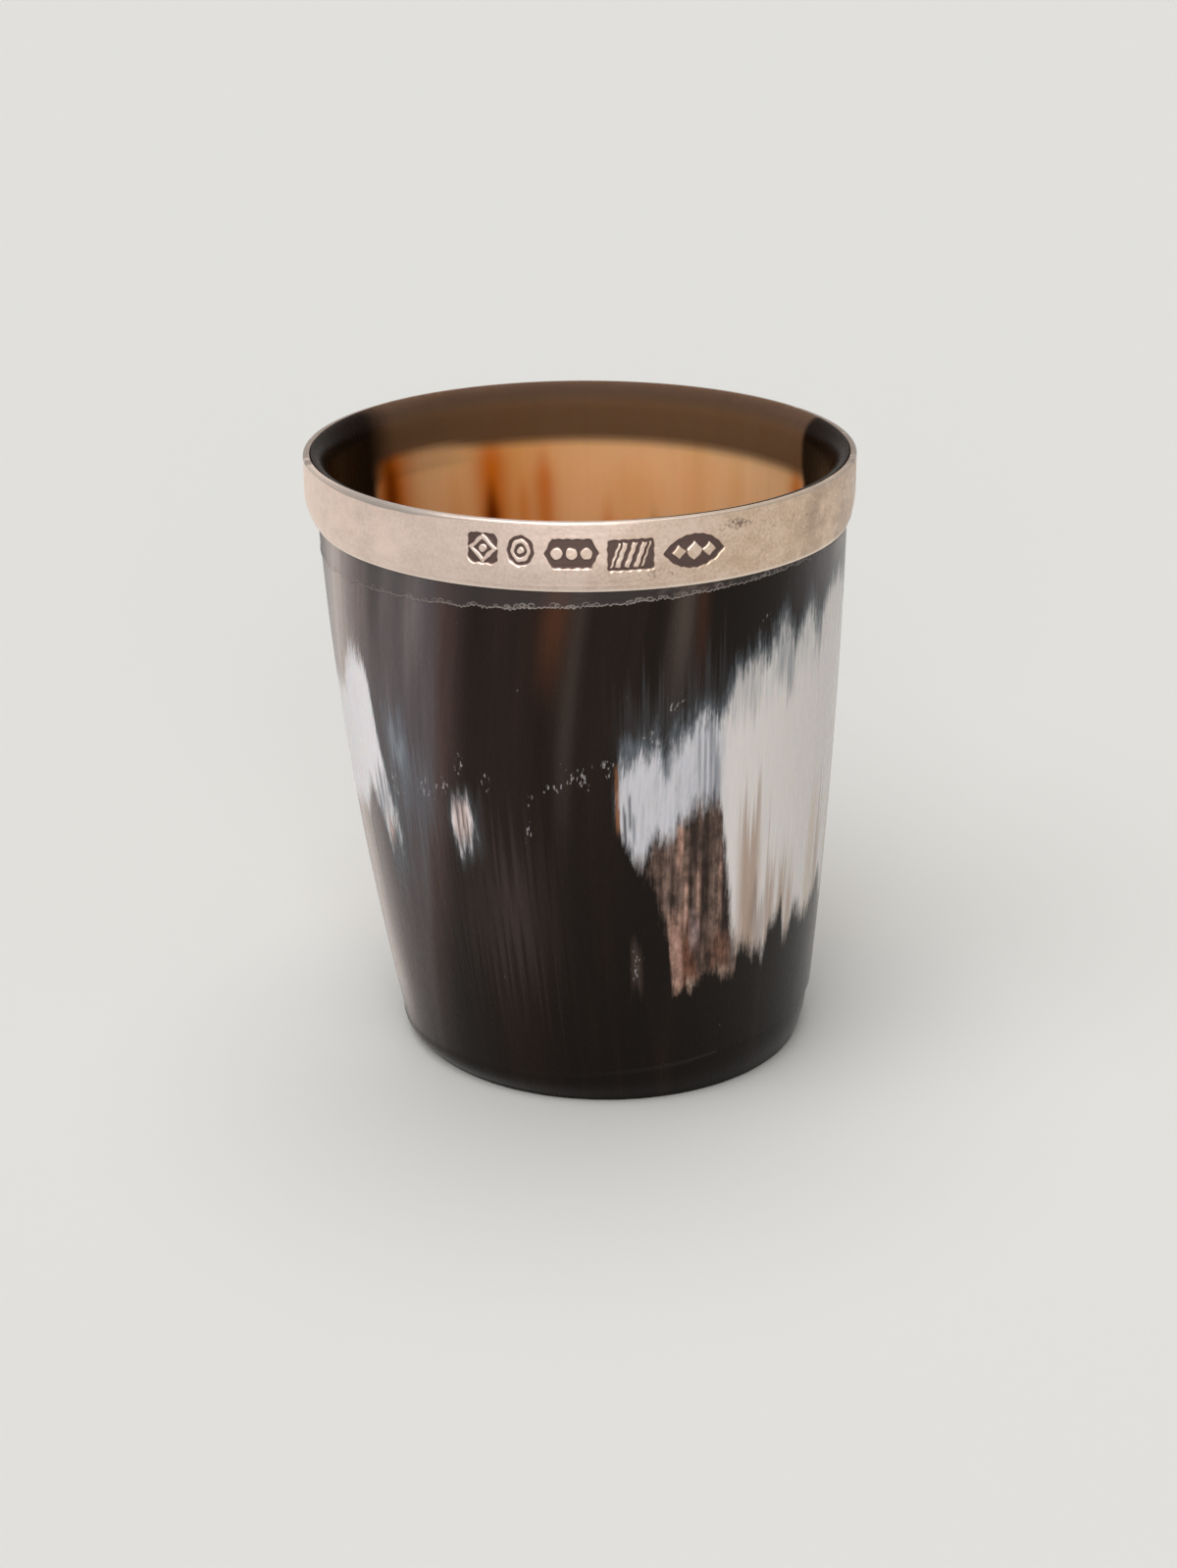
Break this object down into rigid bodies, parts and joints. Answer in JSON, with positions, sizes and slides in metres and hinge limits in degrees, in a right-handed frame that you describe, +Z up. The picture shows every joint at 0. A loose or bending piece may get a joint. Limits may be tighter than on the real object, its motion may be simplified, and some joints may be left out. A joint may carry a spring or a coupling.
{
  "type": "horn whisky tot",
  "caption": "Small tapered drinking cup of turned horn with a silver band round its mouth and a let-in horn base.",
  "frame": {"origin": "on the table, under the middle of the mouth", "axes": "+Z up through the mouth; the cup is seen from the front looking along +Y, with +X to the right, the side towards which the foot stands out of line with the mouth"},
  "size_m": [0.05, 0.05, 0.057],
  "materials": {
    "horn": "polished natural horn, near black with brown streaks and milky white patches",
    "base_horn": "polished brown horn",
    "silver": "satin silver with light tarnish",
    "cement": "dull dark cement",
    "sealant": "glossy amber sealant"
  },
  "bodies": {
    "root": {"horn_wall": "horn", "base_disc": "base_horn", "silver_band": "silver", "cement_bed": "cement", "cement_line": "cement", "base_seal": "sealant"}
  },
  "joints": []
}
